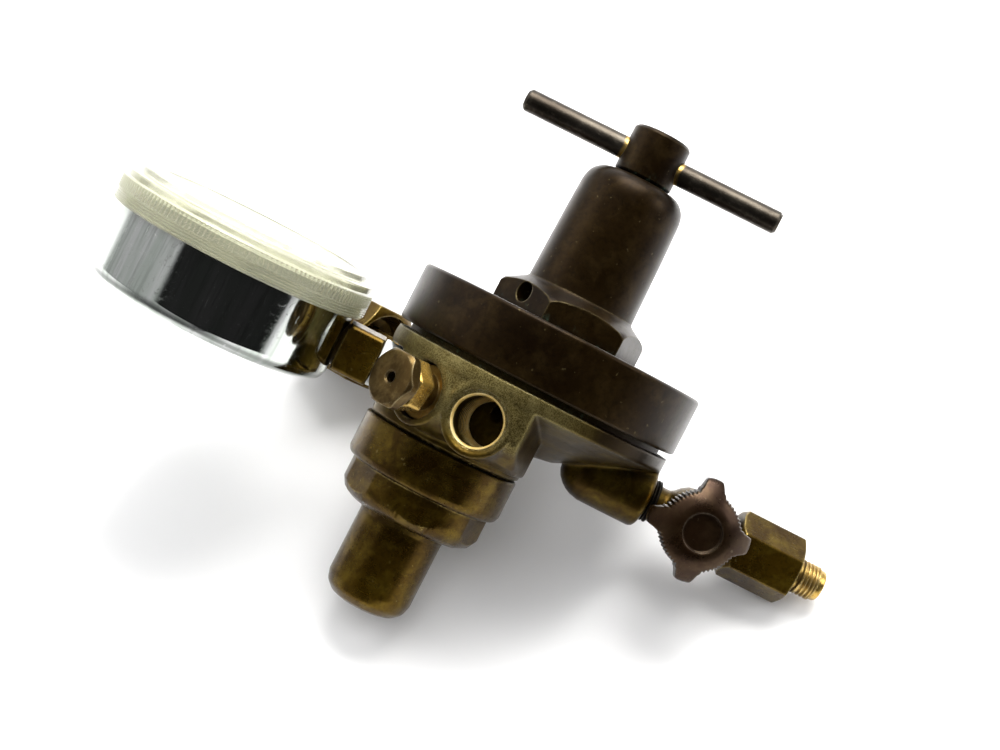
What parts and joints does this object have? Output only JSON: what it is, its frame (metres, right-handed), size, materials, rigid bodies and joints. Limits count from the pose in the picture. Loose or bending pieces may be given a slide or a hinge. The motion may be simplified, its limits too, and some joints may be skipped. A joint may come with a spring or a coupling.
{
  "type": "carbon dioxide regulator",
  "caption": "Gas pressure regulator with a cross-bar adjusting screw, a side gauge on a square stem, a swivel inlet nut, a relief valve and a needle-valve outlet.",
  "frame": {"origin": "centre of the flat end of the first-stage dome", "axes": "+Z along the dome and adjusting screw, towards the cross bar; -X towards the gauge; +X towards the outlet; -Y towards the handwheel and the spare port"},
  "size_m": [0.218, 0.1097, 0.1499],
  "materials": {
    "dark_brass": "aged dark brown patina",
    "olive_brass": "aged olive brown patina",
    "gold_brass": "clean machined",
    "bronze": "dull brown tarnish",
    "black_steel": "blackened, worn",
    "steel": "plain bright",
    "chrome": "polished",
    "rubber": "matt",
    "clear_plastic": "clear, slightly yellowed",
    "dial_white": "satin white",
    "pointer_black": "matt black",
    "thread_tape": "soft white film",
    "washer_white": "satin",
    "filter_bronze": "sintered"
  },
  "bodies": {
    "regulator": {"body": "olive_brass", "bonnet": "dark_brass", "main_diaphragm": "rubber", "slip_ring": "steel", "range_spring": "steel", "second_stage_nozzle": "gold_brass", "second_stage_poppet_spring": "steel", "first_stage_cap": "olive_brass", "first_stage_diaphragm": "rubber", "first_stage_spring": "steel", "first_stage_preset_disc": "gold_brass", "first_stage_nozzle": "gold_brass", "first_stage_poppet_spring": "steel", "relief_body": "gold_brass", "relief_cap": "bronze", "relief_spring": "steel", "gauge_case": "chrome", "gauge_lens": "clear_plastic", "gauge_dial": "dial_white", "gauge_socket": "olive_brass", "thread_tape": "thread_tape", "bourdon_tube": "gold_brass", "movement_frame": "gold_brass", "needle_valve_body": "olive_brass", "packing_nut": "gold_brass", "outlet_adapter": "olive_brass", "outlet_nipple": "gold_brass", "inlet_nipple": "gold_brass", "inlet_filter": "filter_bronze", "inlet_washer": "washer_white"},
    "spring_button": {"spring_button": "steel"},
    "adjusting_screw": {"adjusting_screw": "dark_brass", "tee_bar": "black_steel"},
    "diaphragm_stack": {"diaphragm_plate": "steel", "diaphragm_pad": "gold_brass"},
    "second_poppet": {"second_stage_poppet": "steel"},
    "first_plate": {"first_stage_spring_plate": "steel"},
    "first_poppet": {"first_stage_poppet": "steel"},
    "relief_poppet": {"relief_poppet": "rubber"},
    "quadrant": {"movement_quadrant": "gold_brass"},
    "pointer": {"gauge_pointer": "pointer_black", "pointer_shaft": "steel"},
    "valve_needle": {"valve_needle": "steel"},
    "handwheel": {"handwheel": "bronze", "valve_stem": "steel"},
    "inlet_nut": {"inlet_nut": "olive_brass"}
  },
  "joints": [
    {"name": "screw_advance", "type": "slide", "parent": "regulator", "child": "spring_button", "axis": [0, 0, 1], "range_m": [0, 0.00635], "deforming": ["range_spring"]},
    {"name": "screw_turn", "type": "hinge", "parent": "spring_button", "child": "adjusting_screw", "pos_m": [0.0152, 0, 0.1307], "axis": [0, 0, 1], "range_deg": [0, 1440]},
    {"name": "diaphragm_travel", "type": "slide", "parent": "regulator", "child": "diaphragm_stack", "axis": [0, 0, 1], "range_m": [-0.0006, 0.0002], "deforming": ["main_diaphragm"]},
    {"name": "second_poppet_lift", "type": "slide", "parent": "regulator", "child": "second_poppet", "axis": [0, 0, 1], "range_m": [-0.0006, 0.0002], "deforming": ["second_stage_poppet_spring"]},
    {"name": "first_stage_travel", "type": "slide", "parent": "regulator", "child": "first_plate", "axis": [0, 0, 1], "range_m": [-0.0002, 0.0005], "deforming": ["first_stage_diaphragm", "first_stage_spring"]},
    {"name": "first_poppet_lift", "type": "slide", "parent": "regulator", "child": "first_poppet", "axis": [0, 0, 1], "range_m": [-0.0002, 0.0005], "deforming": ["first_stage_poppet_spring"]},
    {"name": "relief_lift", "type": "slide", "parent": "regulator", "child": "relief_poppet", "axis": [-0.7314, -0.682, 0], "range_m": [0, 0.001], "deforming": ["relief_spring"]},
    {"name": "pointer_turn", "type": "hinge", "parent": "regulator", "child": "pointer", "pos_m": [-0.0711, 0, 0.0607], "axis": [0, -0.0558, 0.9984], "range_deg": [-270, 0]},
    {"name": "quadrant_turn", "type": "hinge", "parent": "regulator", "child": "quadrant", "pos_m": [-0.0843, 0, 0.0607], "axis": [0, -0.0558, 0.9984], "range_deg": [0, 27]},
    {"name": "needle_travel", "type": "slide", "parent": "regulator", "child": "valve_needle", "axis": [0, -1, 0], "range_m": [0, 0.003]},
    {"name": "handwheel_turn", "type": "hinge", "parent": "valve_needle", "child": "handwheel", "pos_m": [0.06826, -0.02, 0.0607], "axis": [0, -1, 0], "range_deg": [0, 1080]},
    {"name": "inlet_nut_spin", "type": "hinge", "parent": "regulator", "child": "inlet_nut", "pos_m": [-0.03571, 0.05091, 0.06205], "axis": [-0.7071, 0.7071, 0], "continuous": true}
  ],
  "couplings": [
    {"joint": "screw_advance", "follows": "screw_turn", "m_per_rad": 0.00025266},
    {"joint": "second_poppet_lift", "follows": "diaphragm_travel", "ratio": 1},
    {"joint": "first_poppet_lift", "follows": "first_stage_travel", "ratio": 1},
    {"joint": "quadrant_turn", "follows": "pointer_turn", "ratio": -0.1},
    {"joint": "handwheel_turn", "follows": "needle_travel", "rad_per_m": 6283.2}
  ]
}
